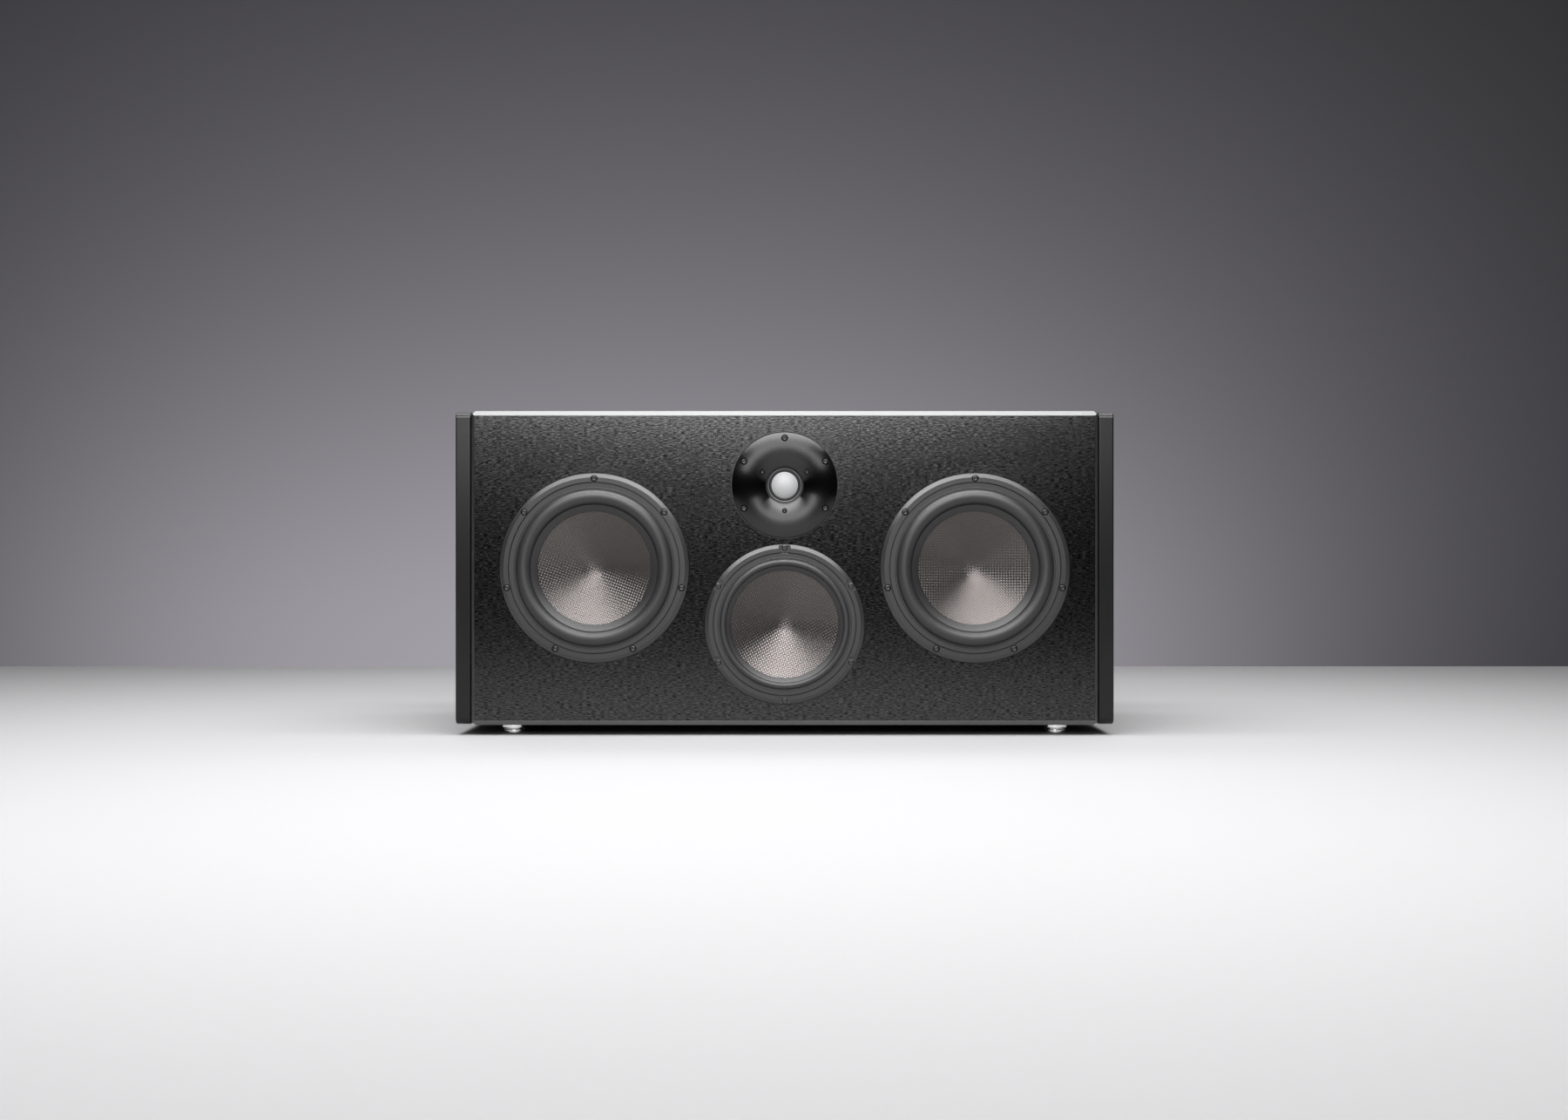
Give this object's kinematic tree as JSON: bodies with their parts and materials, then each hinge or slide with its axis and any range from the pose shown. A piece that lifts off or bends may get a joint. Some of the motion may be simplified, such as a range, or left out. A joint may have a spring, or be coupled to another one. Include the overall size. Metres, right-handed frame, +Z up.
{
  "type": "center channel speaker",
  "caption": "Low wide sealed metal loudspeaker with woven-cone woofers at the sides, a midrange driver below a dome tweeter in the middle, and round feet.",
  "frame": {"origin": "on the floor below the middle of the speaker's box, its binding posts included", "axes": "+X to the right seen from the front, +Y to the rear, +Z up"},
  "size_m": [0.698, 0.4199, 0.344],
  "materials": {
    "brushed_baffle": "satin",
    "satin_panel": "satin",
    "inner_panel": "satin",
    "cast_frame": "satin",
    "surround_rubber": "satin",
    "woven_cone": "satin",
    "dome_metal": "satin",
    "satin_faceplate": "satin",
    "motor_steel": "satin",
    "ferrite": "matte",
    "coil_wire": "satin",
    "spider_cloth": "matte",
    "black_screw": "satin",
    "polished_foot": "polished",
    "post_brass": "polished",
    "red_grip": "gloss",
    "black_grip": "gloss",
    "insulator": "matte",
    "circuit_board": "satin",
    "wire_cover": "matte"
  },
  "bodies": {
    "cabinet": {"black_post": "post_brass", "bottom_panel": "satin_panel", "crossover": "circuit_board", "front_baffle": "brushed_baffle", "front_left_foot": "polished_foot", "front_right_foot": "polished_foot", "internal_wiring": "wire_cover", "left_divider": "inner_panel", "left_side_panel": "satin_panel", "left_woofer_basket": "cast_frame", "left_woofer_front_plate": "motor_steel", "left_woofer_magnet": "ferrite", "left_woofer_screws": "black_screw", "left_woofer_spider": "spider_cloth", "left_woofer_surround": "surround_rubber", "left_woofer_yoke": "motor_steel", "midrange_basket": "cast_frame", "midrange_front_plate": "motor_steel", "midrange_magnet": "ferrite", "midrange_screws": "black_screw", "midrange_spider": "spider_cloth", "midrange_surround": "surround_rubber", "midrange_yoke": "motor_steel", "post_insulators": "insulator", "post_nuts": "post_brass", "rear_left_foot": "polished_foot", "rear_panel": "satin_panel", "rear_panel_screws": "black_screw", "rear_right_foot": "polished_foot", "red_post": "post_brass", "right_divider": "inner_panel", "right_side_panel": "satin_panel", "right_woofer_basket": "cast_frame", "right_woofer_front_plate": "motor_steel", "right_woofer_magnet": "ferrite", "right_woofer_screws": "black_screw", "right_woofer_spider": "spider_cloth", "right_woofer_surround": "surround_rubber", "right_woofer_yoke": "motor_steel", "top_panel": "satin_panel", "tweeter_clamp_screws": "black_screw", "tweeter_faceplate": "satin_faceplate", "tweeter_front_plate": "motor_steel", "tweeter_magnet": "ferrite", "tweeter_rear_chamber": "cast_frame", "tweeter_screws": "black_screw", "tweeter_surround": "surround_rubber", "tweeter_yoke": "motor_steel"},
    "left_woofer_diaphragm": {"left_woofer_cone": "woven_cone", "left_woofer_voice_coil": "coil_wire"},
    "right_woofer_diaphragm": {"right_woofer_cone": "woven_cone", "right_woofer_voice_coil": "coil_wire"},
    "midrange_diaphragm": {"midrange_cone": "woven_cone", "midrange_voice_coil": "coil_wire"},
    "tweeter_diaphragm": {"tweeter_dome": "dome_metal", "tweeter_voice_coil": "coil_wire"},
    "red_nut": {"red_cap_nut": "post_brass"},
    "red_grip": {"red_cap": "red_grip"},
    "black_nut": {"black_cap_nut": "post_brass"},
    "black_grip": {"black_cap": "black_grip"}
  },
  "joints": [
    {"name": "left_woofer_travel", "type": "slide", "parent": "cabinet", "child": "left_woofer_diaphragm", "axis": [0, -1, 0], "range_m": [-0.008, 0.008], "stiffness_N_per_m": 1200, "deforming": ["left_woofer_surround", "left_woofer_spider"]},
    {"name": "right_woofer_travel", "type": "slide", "parent": "cabinet", "child": "right_woofer_diaphragm", "axis": [0, -1, 0], "range_m": [-0.008, 0.008], "stiffness_N_per_m": 1200, "deforming": ["right_woofer_surround", "right_woofer_spider"]},
    {"name": "midrange_travel", "type": "slide", "parent": "cabinet", "child": "midrange_diaphragm", "axis": [0, -1, 0], "range_m": [-0.004, 0.004], "stiffness_N_per_m": 1500, "deforming": ["midrange_surround", "midrange_spider"]},
    {"name": "tweeter_travel", "type": "slide", "parent": "cabinet", "child": "tweeter_diaphragm", "axis": [0, -1, 0], "range_m": [-0.0004, 0.0004], "stiffness_N_per_m": 2000, "deforming": ["tweeter_surround"]},
    {"name": "red_cap_lift", "type": "slide", "parent": "cabinet", "child": "red_nut", "axis": [0, 1, 0], "range_m": [0, 0.00625]},
    {"name": "red_cap_turn", "type": "hinge", "parent": "red_nut", "child": "red_grip", "pos_m": [0.02, 0.19865, 0.0815], "axis": [0, 1, 0], "range_deg": [0, 1800]},
    {"name": "black_cap_lift", "type": "slide", "parent": "cabinet", "child": "black_nut", "axis": [0, 1, 0], "range_m": [0, 0.00625]},
    {"name": "black_cap_turn", "type": "hinge", "parent": "black_nut", "child": "black_grip", "pos_m": [-0.02, 0.19865, 0.0815], "axis": [0, 1, 0], "range_deg": [0, 1800]}
  ],
  "couplings": [
    {"joint": "red_cap_turn", "follows": "red_cap_lift", "rad_per_m": 5026.5},
    {"joint": "black_cap_turn", "follows": "black_cap_lift", "rad_per_m": 5026.5}
  ]
}
